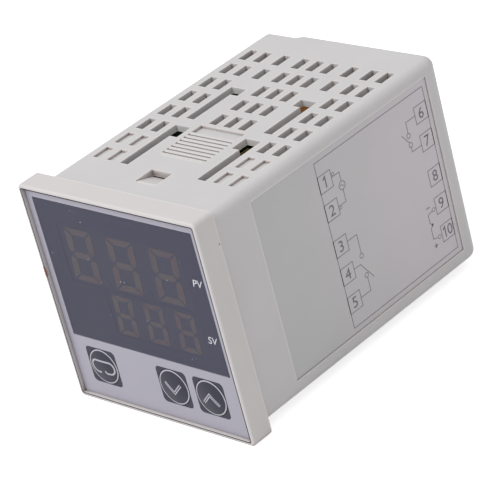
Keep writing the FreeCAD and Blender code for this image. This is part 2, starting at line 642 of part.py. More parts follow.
def make_terminals():
    """Two five-way strips, each a comb of barriers on a base, with contacts, clamps and screws."""
    screws, clamps, contacts = [], [], []
    half = "(%s * 2.5 + barrier / 2)" % CELL_PITCH
    for side, sign in SIDES:
        blocks = [
            span("strip_base_" + side,
                 mirrored(sign, "(%s - spine - strip_lip)" % CELL_INNER,
                          "(%s + strip_lip)" % CELL_OUTER),
                 (STRIP_FRONT, STRIP_BASE_BACK), ("-" + half, half)),
            span("strip_spine_" + side, mirrored(sign, "(%s - spine)" % CELL_INNER, CELL_INNER),
                 (STRIP_BASE_BACK, "case_depth - rear_wall + barrier_rise"), ("-" + half, half))]
        for index in range(6):
            middle = "%s * (%d - 2.5)" % (CELL_PITCH, index)
            low, high = middle + " - barrier / 2", middle + " + barrier / 2"
            blocks.append(span("barrier_%s_%d" % (side, index),
                               mirrored(sign, CELL_INNER, CELL_OUTER),
                               (STRIP_BASE_BACK, "case_depth - rear_wall + barrier_rise"),
                               (low, high)))
        tools = []
        for index in range(5):
            middle = cell_height(index)
            screw_x = SCREW_X if sign > 0 else "-" + SCREW_X
            tag = "%s_%d" % (side, index + 1)
            seat = STRIP_BASE_BACK
            plate_top = "(%s + contact_thickness)" % seat
            clamp_top = "(%s + clamp_thickness)" % plate_top
            # the screw passes a square pocket in the strip and a square hole in the contact
            fit = "(screw_body / 2 + screw_clearance)"
            across = mirrored(sign, "(%s - %s)" % (SCREW_X, fit), "(%s + %s)" % (SCREW_X, fit))
            rise = ("%s - %s" % (middle, fit), "%s + %s" % (middle, fit))
            tools.append(span("strip_pocket_" + tag, across, (clamp_top + " - screw_length", seat),
                              rise))
            tail = mirrored(sign, "(%s - tail_thickness)" % BOARD_X, BOARD_X)
            slot = mirrored(sign, "(%s - tail_thickness - tail_clearance)" % BOARD_X,
                            "(%s + tail_clearance)" % BOARD_X)
            tools.append(span("tail_slot_" + tag, slot, (STRIP_FRONT, seat),
                              (middle + " - tail_width / 2 - tail_clearance",
                               middle + " + tail_width / 2 + tail_clearance")))
            reach = "(%s / 2 - barrier / 2 - contact_side_gap)" % CELL_PITCH
            plate = span("contact_plate_" + tag,
                         mirrored(sign, "(%s + contact_side_gap)" % CELL_INNER,
                                  "(%s - contact_side_gap)" % CELL_OUTER),
                         (seat, plate_top), (middle + " - " + reach, middle + " + " + reach))
            tail_box = span("contact_tail_" + tag, tail, (STRIP_FRONT + " - tail_reach", seat),
                            (middle + " - tail_width / 2", middle + " + tail_width / 2"))
            hole = span("contact_hole_" + tag, across, (seat, plate_top), rise)
            contacts.append(cut("contact_" + tag, fuse("contact_blank_" + tag, [plate, tail_box]),
                                [hole]))
            square = span("clamp_blank_" + tag,
                          mirrored(sign, "(%s - clamp_size / 2)" % SCREW_X,
                                   "(%s + clamp_size / 2)" % SCREW_X),
                          (plate_top, clamp_top),
                          (middle + " - clamp_size / 2", middle + " + clamp_size / 2"))
            bore = rod("clamp_hole_" + tag, fit, plate_top, clamp_top, "y", screw_x, middle)
            clamps.append(cut("clamp_" + tag, square, [bore]))
            head = rod("screw_head_" + tag, "screw_head / 2", clamp_top,
                       clamp_top + " + screw_head_height", "y", screw_x, middle)
            shank = rod("screw_shank_" + tag, "screw_body / 2", clamp_top + " - screw_length",
                        clamp_top, "y", screw_x, middle)
            slot_x = mirrored(sign, "(%s - screw_head)" % SCREW_X, "(%s + screw_head)" % SCREW_X)
            drive = span("screw_drive_" + tag, slot_x,
                         (clamp_top + " + screw_head_height - screw_slot",
                          clamp_top + " + screw_head_height"),
                         (middle + " - screw_slot / 2", middle + " + screw_slot / 2"))
            screws.append(cut("screw_" + tag, fuse("screw_blank_" + tag, [head, shank]), [drive]))
        cut("terminal_strip_" + side, fuse("strip_blank_" + side, blocks), tools)
    group("terminal_screws", screws)
    group("clamp_plates", clamps)
    group("terminal_contacts", contacts)


# ---------------------------------------------------------------- parts on the boards
def on_board(sign, reach):
    """Span in X from a side board's inner face towards the middle."""
    return mirrored(sign, "(%s - %s)" % (BOARD_X, reach), BOARD_X)


def along_board(name, from_rear):
    """Span in Y of a block, measured from the front board or from the terminal strips."""
    if from_rear:
        return ("{0} - {1}_back - {1}_length".format(STRIP_FRONT, name),
                "{0} - {1}_back".format(STRIP_FRONT, name))
    return ("{0} + {1}_start".format(FRONT_BOARD_BACK, name),
            "{0} + {1}_start + {1}_length".format(FRONT_BOARD_BACK, name))


def board_block(node, name, sign, upper, from_rear=True):
    """Block seated on a side board, in from the board's upper or lower edge."""
    rise = mirrored(upper, "({0} - {1}_edge - {1}_width)".format(HALF_BOARD, name),
                    "({0} - {1}_edge)".format(HALF_BOARD, name))
    return span(node, on_board(sign, name + "_height"), along_board(name, from_rear), rise)


def board_can(name, place):
    """Round part standing on the right board's lower half."""
    return rod(name, name + "_radius", "%s - %s_height" % (BOARD_X, name), BOARD_X, "x", place,
               "{1}_edge - {0}".format(HALF_BOARD, name))


def make_transformer():
    """Two-window ferrite core, taped winding on its middle leg, and a bobbin base on the board."""
    front = "(%s - bobbin_base - core_reach)" % BOARD_X
    back = "(%s - bobbin_base)" % BOARD_X
    start = "(%s + core_start)" % FRONT_BOARD_BACK
    middle = "(%s + core_start + core_width / 2)" % FRONT_BOARD_BACK
    height = "(%s - core_edge)" % HALF_BOARD
    window = "((core_width - core_leg * 4) / 2)"
    slab = (height + " - core_slab / 2", height + " + core_slab / 2")
    inside = (front + " + core_yoke", back + " - core_yoke")
    core = span("core_block", (front, back), (start, start + " + core_width"), slab)
    through = (height + " - core_slab", height + " + core_slab")
    tools = [
        span("core_window_a", inside, (start + " + core_leg", middle + " - core_leg"), through),
        span("core_window_b", inside,
             (middle + " + core_leg", middle + " + core_leg + " + window), through)]
    cut("transformer_core", core, tools)
    half = "(core_leg + %s - winding_gap)" % window
    winding = span("winding_block", (inside[0] + " + winding_gap", inside[1] + " - winding_gap"),
                   (middle + " - " + half, middle + " + " + half),
                   (slab[0] + " - " + window, slab[1] + " + " + window))
    bore = span("winding_bore", (front, back),
                (middle + " - core_leg", middle + " + core_leg"), slab)
    cut("transformer_winding", winding, [bore])
    span("transformer_bobbin", (back, BOARD_X), (start, start + " + core_width"),
         (height + " - bobbin_width / 2", height + " + bobbin_width / 2"))


def make_board_parts():
    """Relays, capacitors, fuse, varistor and chips, each seated on its board."""
    make_transformer()
    board_block("film_capacitor", "film_capacitor", 1, 1)
    board_block("varistor", "varistor", 1, -1)
    board_can("input_capacitor", "%s + input_capacitor_start" % FRONT_BOARD_BACK)
    board_can("output_capacitor", "%s - output_capacitor_back" % STRIP_FRONT)
    board_can("fuse", "%s - fuse_back" % STRIP_FRONT)
    board_block("main_relay", "relay", -1, 1, from_rear=False)
    board_block("alarm_relay", "relay", -1, -1, from_rear=False)
    back = "%s - microcontroller_back" % STRIP_FRONT
    span("microcontroller", on_board(-1, "microcontroller_height"),
         (back + " - microcontroller_size", back),
         ("-microcontroller_size / 2", "microcontroller_size / 2"))
    group("optocouplers", [
        board_block("optocoupler_upper", "optocoupler", -1, 1),
        board_block("optocoupler_lower", "optocoupler", -1, -1)])
    board_block("memory_chip", "memory_chip", -1, 1)
    for name, sign in SIDES:
        span("board_header_" + name, on_board(sign, "header_reach"),
             (FRONT_BOARD_BACK, FRONT_BOARD_BACK + " + header_reach"),
             ("-header_length / 2", "header_length / 2"))


# ---------------------------------------------------------------- assembly
make_case()
make_label()
make_bezel()
make_film()
for key_name, key_place in KEYS:
    make_key(key_name, key_place)
    make_button(key_name, key_place)
make_switches()
for display in DISPLAYS:
    make_display(*display)
    make_segments(*display)
make_boards()
make_terminals()
make_board_parts()
doc.recompute()

NODES = [
    "case_shell", "side_label", "bezel", "front_film",
    "mode_key", "mode_button", "down_key", "down_button", "up_key", "up_button",
    "key_switches", "pv_display", "pv_segments", "sv_display", "sv_segments",
    "front_board", "power_board", "control_board", "board_header_right", "board_header_left",
    "terminal_strip_right", "terminal_strip_left", "terminal_contacts", "clamp_plates",
    "terminal_screws",
    "transformer_core", "transformer_winding", "transformer_bobbin", "film_capacitor",
    "input_capacitor", "output_capacitor", "fuse", "varistor", "main_relay", "alarm_relay",
    "microcontroller", "optocouplers", "memory_chip",
]

for item in doc.Objects:
    if "Invalid" in item.State or "Error" in item.State:
        raise ValueError("%s did not build: %s" % (item.Name, item.State))
for node in NODES:
    shape = doc.getObject(node).Shape
    if shape.isNull() or not shape.isValid() or not shape.Solids:
        raise ValueError("%s has no sound solid" % node)
    shape.exportStep("parts/%s.step" % node)
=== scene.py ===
"""Panel temperature controller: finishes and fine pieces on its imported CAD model, in metres."""
import math

import bmesh
import bpy
import numpy as np
from mathutils import Matrix, Vector


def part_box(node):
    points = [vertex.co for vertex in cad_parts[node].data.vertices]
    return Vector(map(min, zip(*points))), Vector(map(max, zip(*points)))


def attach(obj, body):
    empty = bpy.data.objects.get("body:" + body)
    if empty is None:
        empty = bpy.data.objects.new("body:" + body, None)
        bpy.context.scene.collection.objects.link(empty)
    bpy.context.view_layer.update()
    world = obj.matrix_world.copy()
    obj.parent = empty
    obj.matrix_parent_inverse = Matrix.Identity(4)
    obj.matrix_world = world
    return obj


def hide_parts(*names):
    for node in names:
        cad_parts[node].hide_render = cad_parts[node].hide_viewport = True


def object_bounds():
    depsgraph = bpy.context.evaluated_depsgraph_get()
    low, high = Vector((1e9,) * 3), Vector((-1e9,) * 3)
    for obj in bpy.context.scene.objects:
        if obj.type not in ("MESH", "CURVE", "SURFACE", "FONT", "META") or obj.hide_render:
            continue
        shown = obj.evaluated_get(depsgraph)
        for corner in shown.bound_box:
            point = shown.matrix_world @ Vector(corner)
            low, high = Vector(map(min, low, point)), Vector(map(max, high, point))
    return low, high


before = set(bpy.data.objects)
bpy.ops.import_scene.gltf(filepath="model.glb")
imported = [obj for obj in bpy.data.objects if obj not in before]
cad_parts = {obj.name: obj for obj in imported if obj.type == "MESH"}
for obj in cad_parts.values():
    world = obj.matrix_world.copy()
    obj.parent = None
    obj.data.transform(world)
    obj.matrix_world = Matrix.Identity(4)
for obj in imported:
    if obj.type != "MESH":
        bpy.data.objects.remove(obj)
cad_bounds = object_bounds()
MM = 0.001


# ---------------------------------------------------------------- case
# The case is one injection moulding in light grey ABS, a sleeve closed by its rear wall.
# The mould was spark-eroded, so the skin is satin with a very fine grain, and the grey
# drifts a little where the melt cooled at different speeds.
def linear(code):
    """Linear RGBA of an sRGB hex code: each channel is taken back through the sRGB curve."""
    share = np.array([int(code[place:place + 2], 16) for place in (1, 3, 5)]) / 255
    curved = ((share + 0.055) / 1.055) ** 2.4
    return (*np.where(share <= 0.04045, share / 12.92, curved).tolist(), 1.0)


def add(material, kind, inputs=None, **settings):
    """Adds one shader node: settings are its own properties, inputs are constants or sockets."""
    made = material.node_tree.nodes.new("ShaderNode" + kind)
    for name, setting in settings.items():
        setattr(made, name, setting)
    for name, source in (inputs or {}).items():
        if isinstance(source, bpy.types.NodeSocket):
            material.node_tree.links.new(source, made.inputs[name])
        else:
            made.inputs[name].default_value = source
    return made


def start_material(name):
    """Empty material with its output and the piece's own coordinates."""
    material = bpy.data.materials.new(name)
    material.use_nodes = True
    material.node_tree.nodes.clear()
    output = add(material, "OutputMaterial")
    place = add(material, "TexCoord").outputs["Object"]
    return material, output, place


def moulded_plastic(name, light, dark, roughness, grain, depth, drift=0.012, painted_recess_shade=None):
    """Spark-eroded moulding: satin, with a fine grain and a slow drift between two shades.
    With a painted recess shade, that colour is mixed in as painted shade where the walls of narrow
    slots and grooves close round a point, and a pale painted highlight where the moulding is thin
    round an outer edge."""
    material, output, place = start_material(name)
    slow = add(material, "TexNoise", {"Vector": place, "Scale": 1 / drift, "Detail": 2.0})
    shade = add(material, "Mix", {0: slow.outputs["Fac"], 6: linear(light), 7: linear(dark)},
                data_type="RGBA").outputs[2]
    fine = add(material, "TexNoise", {"Vector": place, "Scale": 1 / grain, "Detail": 3.0,
                                      "Roughness": 0.6})
    pits = add(material, "Bump", {"Height": fine.outputs["Fac"], "Strength": 0.35,
                                  "Distance": depth})
    sheen = add(material, "MapRange", {"Value": fine.outputs["Fac"], "To Min": roughness - 0.06,
                                       "To Max": roughness + 0.06})
    if painted_recess_shade:
        # painted shade: a brown-grey is mixed in where ambient occlusion finds narrow slots and
        # grooves
        closed = add(material, "AmbientOcclusion", {"Distance": PAINTED_SHADE_REACH}, samples=12)
        painted_shade_share = add(material, "MapRange", {"Value": closed.outputs["AO"], "From Min": 0.3,
                                          "From Max": 0.6, "To Min": 0.75, "To Max": 0.0})
        shade = add(material, "Mix", {0: painted_shade_share.outputs[0], 6: shade, 7: linear(painted_recess_shade)},
                    data_type="RGBA").outputs[2]
        # painted highlight: a pale colour is mixed in along outer edges, where they catch the light
        convex = add(material, "AmbientOcclusion", {"Distance": PAINTED_HIGHLIGHT_REACH}, samples=8,
                     inside=True)
        edge = add(material, "MapRange", {"Value": convex.outputs["AO"], "From Min": 0.9,
                                          "From Max": 0.6, "To Min": 0.0, "To Max": 0.6})
        shade = add(material, "Mix", {0: edge.outputs[0], 6: shade, 7: linear("#EFE9E6")},
                    data_type="RGBA").outputs[2]
    surface = add(material, "BsdfPrincipled", {
        "Base Color": shade, "Roughness": sheen.outputs[0], "Normal": pits.outputs["Normal"],
        "IOR": 1.53})
    material.node_tree.links.new(surface.outputs[0], output.inputs["Surface"])
    return material


def finish_node(name, material):
    """Gives a CAD node its material, in every slot of its object."""
    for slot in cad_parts[name].material_slots:
        slot.material = material


# painted shade reaches 3.5 mm from the slots' walls, and painted edge highlights reach over 0.5 mm
PAINTED_SHADE_REACH = 3.5 * MM
PAINTED_HIGHLIGHT_REACH = 0.5 * MM
# the case's brown-grey recess colour is painted shade in its slots and grooves, and its edges get
# painted highlights
# grain drawn at 0.22 mm, about four times the real one, so that it shows at this size
case_abs = moulded_plastic("case_abs", "#D6D5D4", "#CFCECE", 0.52, 0.22 * MM, 0.02 * MM,
                           painted_recess_shade="#7A645A")
finish_node("case_shell", case_abs)


# ---------------------------------------------------------------- side label
# A grey polyester label lies in a shallow recess in the right side. It is screen printed
# with the wiring diagram: ten numbered terminals, a supply, three contacts and a sensor.
# The words and marks of the real one are left off, and their places stay bare.
def polyester_film():
    """Satin label stock with a faint orange peel from its adhesive. Its front end is greyer than
    the rest, over 40 mm."""
    material, output, place = start_material("label_polyester")
    peel = add(material, "TexNoise", {"Vector": place, "Scale": 1 / (1.6 * MM), "Detail": 2.0})
    waves = add(material, "Bump", {"Height": peel.outputs["Fac"], "Strength": 0.12,
                                   "Distance": 0.03 * MM})
    slow = add(material, "TexNoise", {"Vector": place, "Scale": 1 / (9 * MM), "Detail": 1.0})
    along = add(material, "SeparateXYZ", {"Vector": place}).outputs["Y"]
    rearward_share = add(material, "MapRange", {"Value": along, "From Min": 12 * MM, "From Max": 50 * MM})
    front_greyer = add(material, "Mix", {0: rearward_share.outputs[0], 6: linear("#C2C3C2"),
                                 7: linear("#CFCBCE")}, data_type="RGBA")
    lift = add(material, "MapRange", {"Value": slow.outputs["Fac"], "To Min": 0.97,
                                      "To Max": 1.03})
    shade = add(material, "HueSaturation", {"Color": front_greyer.outputs[2], "Value": lift.outputs[0]})
    surface = add(material, "BsdfPrincipled", {
        "Base Color": shade.outputs[0], "Roughness": 0.38, "Normal": waves.outputs["Normal"],
        "IOR": 1.6})
    material.node_tree.links.new(surface.outputs[0], output.inputs["Surface"])
    return material


def printing_ink(name, colour, roughness=0.45):
    """Screen-printed ink: an even film, a little thinner and lighter in small patches."""
    material, output, place = start_material(name)
    patches = add(material, "TexNoise", {"Vector": place, "Scale": 1 / (0.3 * MM), "Detail": 2.0})
    lift = add(material, "MapRange", {"Value": patches.outputs["Fac"], "To Min": 0.9,
                                      "To Max": 1.12})
    shade = add(material, "HueSaturation", {"Color": linear(colour), "Value": lift.outputs[0]})
    surface = add(material, "BsdfPrincipled", {
        "Base Color": shade.outputs[0], "Roughness": roughness, "IOR": 1.5})
    material.node_tree.links.new(surface.outputs[0], output.inputs["Surface"])
    return material


# across, up and outward directions of the faces that carry printing
RIGHT_SIDE = np.array([[0, 1, 0], [0, 0, 1], [1, 0, 0]], float)
FRONT = np.array([[1, 0, 0], [0, 0, 1], [0, -1, 0]], float)
REAR = np.array([[-1, 0, 0], [0, 0, 1], [0, 1, 0]], float)
INK_THICKNESS = 0.02
THIN_INK = 0.01


def stroke(points, width, closed=False):
    """Flat ribbon of constant width along a line: each corner is mitred, so both its sides
    are the line moved half a width along the mean normal of the two runs that meet there."""
    line = np.asarray(points, float)
    after = np.roll(line, -1, axis=0) - line
    before = line - np.roll(line, 1, axis=0)
    if not closed:
        after[-1], before[0] = before[-1], after[0]
    turn = [np.stack([-run[:, 1], run[:, 0]], axis=1) / np.linalg.norm(run, axis=1)[:, None]
            for run in (before, after)]
    mitre = (turn[0] + turn[1]) / (1 + (turn[0] * turn[1]).sum(axis=1))[:, None]
    left, right = line + mitre * width / 2, line - mitre * width / 2
    first = np.arange(len(line) if closed else len(line) - 1)
    second = (first + 1) % len(line)
    faces = np.stack([first, first + len(line), second + len(line), second], axis=1)
    return np.concatenate([left, right]), faces.tolist()


def circle(centre, radius, steps=32, start=0.0, sweep=360.0):
    """Points at equal angles round a centre."""
    whole = abs(sweep) >= 360
    angle = np.radians(start + np.linspace(0, sweep, steps, endpoint=not whole))
    return np.stack([centre[0] + radius * np.cos(angle), centre[1] + radius * np.sin(angle)], 1)


def box_line(left, right, low, high):
    return [(left, low), (right, low), (right, high), (left, high)]


def letters(text, height, centre, lean=0.0):
    """Flat mesh of a text in the plain built-in face, scaled to its height and centred."""
    curve = bpy.data.curves.new("letters", "FONT")
    curve.body = text
    curve.resolution_u = 6
    holder = bpy.data.objects.new("letters", curve)
    mesh = bpy.data.meshes.new_from_object(holder)
    spots = np.empty(len(mesh.vertices) * 3)
    mesh.vertices.foreach_get("co", spots)
    flat = spots.reshape(-1, 3)[:, :2]
    faces = [list(face.vertices) for face in mesh.polygons]
    flat = flat - (flat.min(axis=0) + flat.max(axis=0)) / 2
    flat *= height / np.ptp(flat[:, 1])
    flat[:, 0] += flat[:, 1] * math.tan(math.radians(lean))
    bpy.data.objects.remove(holder)
    return flat + np.asarray(centre), faces


def numeral(number, height, centre):
    """Shapes of a number: the figure 1 is two strokes, its stem and its flag, and the others
    are the built-in face's, a little over half the height apart."""
    shapes = []
    figures = str(number)
    for spot, figure in enumerate(figures):
        across = centre[0] + (spot - (len(figures) - 1) / 2) * height * 0.66
        if figure == "1":
            stem = np.array([(-0.22, 0.26), (0.04, 0.5), (0.04, -0.5)]) * height
            shapes.append(stroke(stem + (across, centre[1]), height * 0.12))
        else:
            shapes.append(letters(figure, height, (across, centre[1])))
    return shapes


def place_mesh(name, spots, faces, material, body, smooth=False):
    """One finished piece from points in millimetres: outward faces, a body and a slot."""
    mesh = bpy.data.meshes.new(name)
    mesh.from_pydata((np.asarray(spots) * MM).tolist(), [], faces)
    shell = bmesh.new()
    shell.from_mesh(mesh)
    bmesh.ops.recalc_face_normals(shell, faces=shell.faces)
    shell.to_mesh(mesh)
    shell.free()
    if smooth:
        mesh.shade_smooth()
        mesh.set_sharp_from_angle(angle=math.radians(35))
    mesh.materials.append(material)
    piece = bpy.data.objects.new(name, mesh)
    bpy.context.scene.collection.objects.link(piece)
    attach(piece, body)
    return piece


def lay_print(name, shapes, side, level, material, body, thickness=INK_THICKNESS):
    """One mesh of flat shapes, laid on a face of the object and given a thickness: each
    shape's faces above and below, and walls round its outline. level is the distance of the
    face from the origin, or a function of the flat points."""
    spots, faces = [], []
    count = 0
    for flat, sides in shapes:
        spots.append(flat)
        faces += [[corner + count for corner in face] for face in sides]
        count += len(flat)
    flat = np.concatenate(spots)
    height = level(flat) if callable(level) else np.full(len(flat), level)
    solid = np.concatenate([
        flat @ side[:2] + np.outer(height + lift, side[2]) for lift in (0.0, thickness)])
    edges = {}
    for face in faces:
        for one, other in zip(face, face[1:] + face[:1]):
            edges.setdefault(frozenset((one, other)), []).append((one, other))
    rim = [pairs[0] for pairs in edges.values() if len(pairs) == 1]
    walls = [[one, other, other + count, one + count] for one, other in rim]
    top = [[corner + count for corner in face] for face in faces]
    bottom = [face[::-1] for face in faces]
    return place_mesh(name, solid, top + bottom + walls, material, body)


label_ink = printing_ink("label_ink", "#86838A")
number_ink = printing_ink("number_ink", "#6A676D")
finish_node("side_label", polyester_film())
label_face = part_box("side_label")[1][0] / MM

LINE = 0.17
BOX = 3.6
FRONT_COLUMN = 28.3
REAR_COLUMN = 57.15
DIAGRAM = (60.75, -17.85, 18.35)
box_heights = [13.55, 7.45, -0.42, -6.62, -12.92]
diagram = [stroke(box_line(FRONT_COLUMN, DIAGRAM[0], DIAGRAM[1], DIAGRAM[2]), LINE, True)]
numbers = []
for column, first in ((FRONT_COLUMN, 1), (REAR_COLUMN, 6)):
    for row, height in enumerate(box_heights):
        corner = [(column, height - BOX / 2), (column + BOX, height - BOX / 2),
                  (column + BOX, height + BOX / 2), (column, height + BOX / 2)]
        diagram.append(stroke(corner, LINE, True))
        numbers += numeral(first + row, 2.3, (column + BOX / 2, height))

edge = FRONT_COLUMN + BOX
# supply across terminals 1 and 2, through a round source symbol
diagram += [
    stroke([(edge, 13.6), (34.1, 13.6), (34.1, 11.6)], LINE),
    stroke([(34.1, 9.9), (34.1, 7.25), (edge, 7.25)], LINE),
    stroke(circle((34.1, 10.75), 0.85), LINE, True),
    stroke(np.stack([34.1 + np.linspace(-0.5, 0.5, 15),
                     10.75 + 0.28 * np.sin(np.linspace(0, 2 * np.pi, 15))], 1), LINE * 0.8)]
diagram += [stroke(circle((32.4, height), 0.3, 20), LINE * 0.8, True) for height in (14.1, 6.75)]
# make contact between terminals 3 and 4, and 5
diagram += [
    stroke([(edge, -0.4), (34.7, -0.4), (34.7, -4.6)], LINE),
    stroke(circle((34.65, -5.1), 0.5, 24), LINE, True),
    stroke([(edge, -6.6), (33.8, -6.6), (36.6, -10.85)], LINE),
    stroke(circle((34.75, -9.5), 0.5, 24), LINE, True),
    stroke([(34.85, -10.0), (34.85, -13.0), (edge, -13.0)], LINE)]
# alarm contact across terminals 6 and 7
diagram += [
    stroke([(REAR_COLUMN, 13.7), (54.25, 13.7), (54.25, 11.3)], LINE),
    stroke(circle((54.25, 10.8), 0.5, 24), LINE, True),
    stroke([(52.4, 11.7), (54.1, 9.3)], LINE),
    stroke(circle((54.3, 8.8), 0.5, 24), LINE, True),
    stroke([(54.3, 8.3), (54.3, 7.25), (REAR_COLUMN, 7.25)], LINE)]
# sensor junction across terminals 9 and 10, with its two signs
diagram += [
    stroke([(55.9, -6.9), (54.6, -7.2), (54.6, -9.0), (55.2, -9.65), (54.6, -10.3), (54.6, -12.6),
            (55.9, -12.95)], LINE),
    stroke(circle((55.2, -9.65), 0.16, 12), 0.3, True)]
diagram += [stroke(circle((56.4, height), 0.42, 20), LINE * 0.8, True)
            for height in (-6.85, -13.0)]
diagram += [
    stroke([(54.4, -5.75), (55.5, -5.75)], LINE * 1.4),
    stroke([(54.4, -14.3), (55.5, -14.3)], LINE * 1.4),
    stroke([(54.95, -14.85), (54.95, -13.75)], LINE * 1.4)]
lay_print("label_diagram", diagram, RIGHT_SIDE, label_face, label_ink, "case")
lay_print("label_numbers", numbers, RIGHT_SIDE, label_face, number_ink, "case")
# painted highlight: a pale line along the label's front and top edges, where they catch the light
EDGE_HIGHLIGHT_WIDTH = 0.16
painted_edge_highlight = printing_ink("label_edge_painted_highlight", "#E2E1E1", 0.5)
label_low, label_high = [np.array(corner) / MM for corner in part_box("side_label")]
front_cut = label_low[1] + EDGE_HIGHLIGHT_WIDTH / 2
top_cut = label_high[2] - EDGE_HIGHLIGHT_WIDTH / 2
highlight_line = [(front_cut, label_low[2]), (front_cut, top_cut), (label_high[1], top_cut)]
lay_print("label_edge_highlight", [stroke(highlight_line, EDGE_HIGHLIGHT_WIDTH)], RIGHT_SIDE, label_face, painted_edge_highlight, "case",
          THIN_INK)


# ---------------------------------------------------------------- boards and their parts
# Three glass-epoxy boards carry the electronics: one behind the front, one down each side.
# Their green solder mask lies over copper tracks, which show as paler raised lines.
def solder_mask():
    """Solder mask over etched copper: tracks are the cells of a coarse square lattice."""
    material, output, place = start_material("solder_mask")
    lattice = add(material, "TexBrick", {
        "Vector": place, "Scale": 1 / (4.2 * MM), "Mortar Size": 0.05,
        "Color1": (0, 0, 0, 1), "Color2": (0, 0, 0, 1), "Mortar": (1, 1, 1, 1)})
    shade = add(material, "Mix", {0: lattice.outputs["Color"], 6: linear("#0F2E1F"),
                                  7: linear("#1D5236")}, data_type="RGBA")
    relief = add(material, "Bump", {"Height": lattice.outputs["Color"], "Strength": 0.4,
                                    "Distance": 0.04 * MM})
    surface = add(material, "BsdfPrincipled", {
        "Base Color": shade.outputs[2], "Roughness": 0.32, "Normal": relief.outputs["Normal"]})
    material.node_tree.links.new(surface.outputs[0], output.inputs["Surface"])
    return material


board_mask = solder_mask()
for board in ("front_board", "power_board", "control_board"):
    finish_node(board, board_mask)

relay_black = moulded_plastic("relay_black", "#1B1B1D", "#222224", 0.42, 0.3 * MM, 0.01 * MM)
chip_black = moulded_plastic("chip_black", "#1A1A1A", "#242424", 0.62, 0.15 * MM, 0.01 * MM)
for part in ("main_relay", "alarm_relay", "board_header_right", "board_header_left",
             "transformer_bobbin"):
    finish_node(part, relay_black)
for part in ("microcontroller", "optocouplers", "memory_chip"):
    finish_node(part, chip_black)


def glossy_coat(name, colour, roughness, ripple):
    """Dipped or shrunk coat: glossy, with the slow ripple that surface tension leaves."""
    material, output, place = start_material(name)
    slow = add(material, "TexNoise", {"Vector": place, "Scale": 1 / ripple, "Detail": 1.0})
    waves = add(material, "Bump", {"Height": slow.outputs["Fac"], "Strength": 0.2,
                                   "Distance": 0.1 * MM})
    lift = add(material, "MapRange", {"Value": slow.outputs["Fac"], "To Min": 0.85,
                                      "To Max": 1.15})
    shade = add(material, "HueSaturation", {"Color": linear(colour), "Value": lift.outputs[0]})
    surface = add(material, "BsdfPrincipled", {
        "Base Color": shade.outputs[0], "Roughness": roughness, "Normal": waves.outputs["Normal"],
        "IOR": 1.55})
    material.node_tree.links.new(surface.outputs[0], output.inputs["Surface"])
    return material


finish_node("film_capacitor", glossy_coat("capacitor_epoxy", "#CE8A36", 0.35, 3 * MM))
finish_node("varistor", glossy_coat("varistor_epoxy", "#2A4A86", 0.3, 2 * MM))
finish_node("fuse", glossy_coat("fuse_case", "#5A3524", 0.4, 4 * MM))
can_sleeve = glossy_coat("can_sleeve", "#2B2F3E", 0.28, 5 * MM)
finish_node("input_capacitor", can_sleeve)
finish_node("output_capacitor", can_sleeve)
finish_node("transformer_winding", glossy_coat("winding_tape", "#B89A34", 0.3, 2 * MM))
finish_node("transformer_core", glossy_coat("ground_ferrite", "#3A3A3C", 0.5, 1 * MM))


# ---------------------------------------------------------------- displays
# Each display is a slate moulded block with cast epoxy bars sunk in its painted face.
# Unlit, the bars are a dull brown behind the tinted window.
display_housing = moulded_plastic("display_housing", "#4C4C5E", "#505062", 0.6, 0.2 * MM,
                                  0.01 * MM)
for module in ("pv_display", "sv_display"):
    finish_node(module, display_housing)


def segment_epoxy(name, node, digit_width):
    """Cast resin of a display's bars: olive that drifts to red-brown over 4 mm, and darker in
    the points, which lie further from the nearest digit's middle than half a digit."""
    low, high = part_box(node)
    pitch = (high[0] - low[0] - digit_width) / 2
    material, output, place = start_material(name)
    drift = add(material, "TexNoise", {"Vector": place, "Scale": 1 / (4 * MM), "Detail": 1.0})
    share = add(material, "MapRange", {"Value": drift.outputs["Fac"], "From Min": 0.42,
                                       "From Max": 0.62})
    shade = add(material, "Mix", {0: share.outputs[0], 6: linear("#9C8C64"),
                                  7: linear("#A27B60")}, data_type="RGBA")
    across = add(material, "SeparateXYZ", {"Vector": place}).outputs["X"]
    shifted = add(material, "Math", {0: across, 1: (low[0] + high[0]) / 2}, operation="SUBTRACT")
    away = add(material, "Math", {0: shifted.outputs[0], 1: pitch / 2}, operation="PINGPONG")
    point = add(material, "Math", {0: away.outputs[0], 1: digit_width / 2 + 0.1 * MM},
                operation="GREATER_THAN")
    finished = add(material, "Mix", {0: point.outputs[0], 6: shade.outputs[2],
                                     7: linear("#4A453F")}, data_type="RGBA")
    surface = add(material, "BsdfPrincipled", {
        "Base Color": finished.outputs[2], "Roughness": 0.55, "IOR": 1.55})
    material.node_tree.links.new(surface.outputs[0], output.inputs["Surface"])
    return material


DIGIT_WIDTHS = {"pv_segments": 8.11, "sv_segments": 5.92}
for bars, digit_width in DIGIT_WIDTHS.items():
    finish_node(bars, segment_epoxy(bars[:2] + "_segment_epoxy", bars, digit_width * MM))


# ---------------------------------------------------------------- bezel
# The bezel is a second moulding in a slightly warmer grey of the same ABS. It frames the
# film, and its skirt and two latch arms slide into the case.
# the bezel's brown-grey recess colour is painted shade in its slots and grooves, and its edges get
# painted highlights
bezel_abs = moulded_plastic("bezel_abs", "#DAD7D5", "#D4D1D0", 0.48, 0.22 * MM, 0.02 * MM,
                            painted_recess_shade="#7A645A")
finish_node("bezel", bezel_abs)


